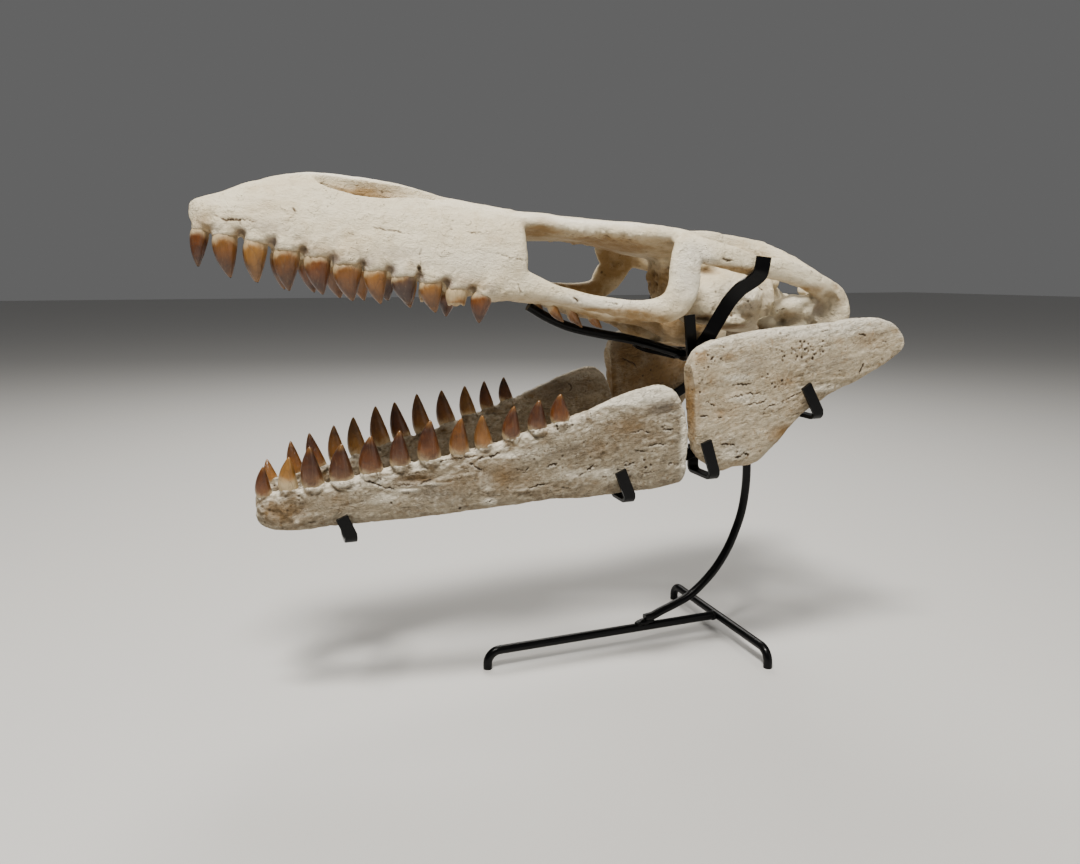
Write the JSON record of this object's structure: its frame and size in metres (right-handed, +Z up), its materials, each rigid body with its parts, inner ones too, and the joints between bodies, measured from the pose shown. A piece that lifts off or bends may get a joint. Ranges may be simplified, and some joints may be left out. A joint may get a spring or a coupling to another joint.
{
  "type": "mosasaur skull fossil",
  "caption": "Life-size mosasaur skull with gaping jaws and conical teeth, carried by a bent rod, flat straps and hooks on a footed black stand.",
  "frame": {"origin": "on the floor under the middle of the mount's length and width", "axes": "+X towards the back of the skull, so the snout points along -X; +Y towards the animal's right side; +Z up from the feet"},
  "size_m": [0.7022, 0.2672, 0.5265],
  "materials": {
    "skull_bone": "matte cream fossil bone with fine cracks and pits",
    "jaw_bone": "matte weathered fossil bone, greyer and striated lengthwise",
    "tooth_enamel": "satin amber to brown tooth enamel",
    "stand_paint": "satin black paint on steel"
  },
  "bodies": {
    "root": {"premaxilla": "skull_bone", "maxilla_left": "skull_bone", "maxilla_right": "skull_bone", "frontal": "skull_bone", "parietal": "skull_bone", "braincase": "skull_bone", "jugal_left": "skull_bone", "jugal_right": "skull_bone", "temporal_arch_left": "skull_bone", "temporal_arch_right": "skull_bone", "quadrate_left": "skull_bone", "quadrate_right": "skull_bone", "pterygoid_left": "skull_bone", "pterygoid_right": "skull_bone", "dentary_left": "jaw_bone", "dentary_right": "jaw_bone", "postdentary_left": "jaw_bone", "postdentary_right": "jaw_bone", "stand_base_bar": "stand_paint", "stand_cross_bar": "stand_paint", "stand_post": "stand_paint", "stand_arch_strap_left": "stand_paint", "stand_arch_strap_right": "stand_paint", "stand_palate_strap_left": "stand_paint", "stand_palate_strap_right": "stand_paint", "stand_jaw_rail_left": "stand_paint", "stand_jaw_rail_right": "stand_paint", "stand_hook_a_left": "stand_paint", "stand_hook_a_right": "stand_paint", "stand_hook_b_left": "stand_paint", "stand_hook_b_right": "stand_paint", "stand_hook_c_left": "stand_paint", "stand_hook_c_right": "stand_paint", "stand_hook_d_left": "stand_paint", "stand_hook_d_right": "stand_paint", "stand_rear_link_left": "stand_paint", "stand_rear_link_right": "stand_paint", "stand_front_link": "stand_paint"}
  },
  "joints": []
}
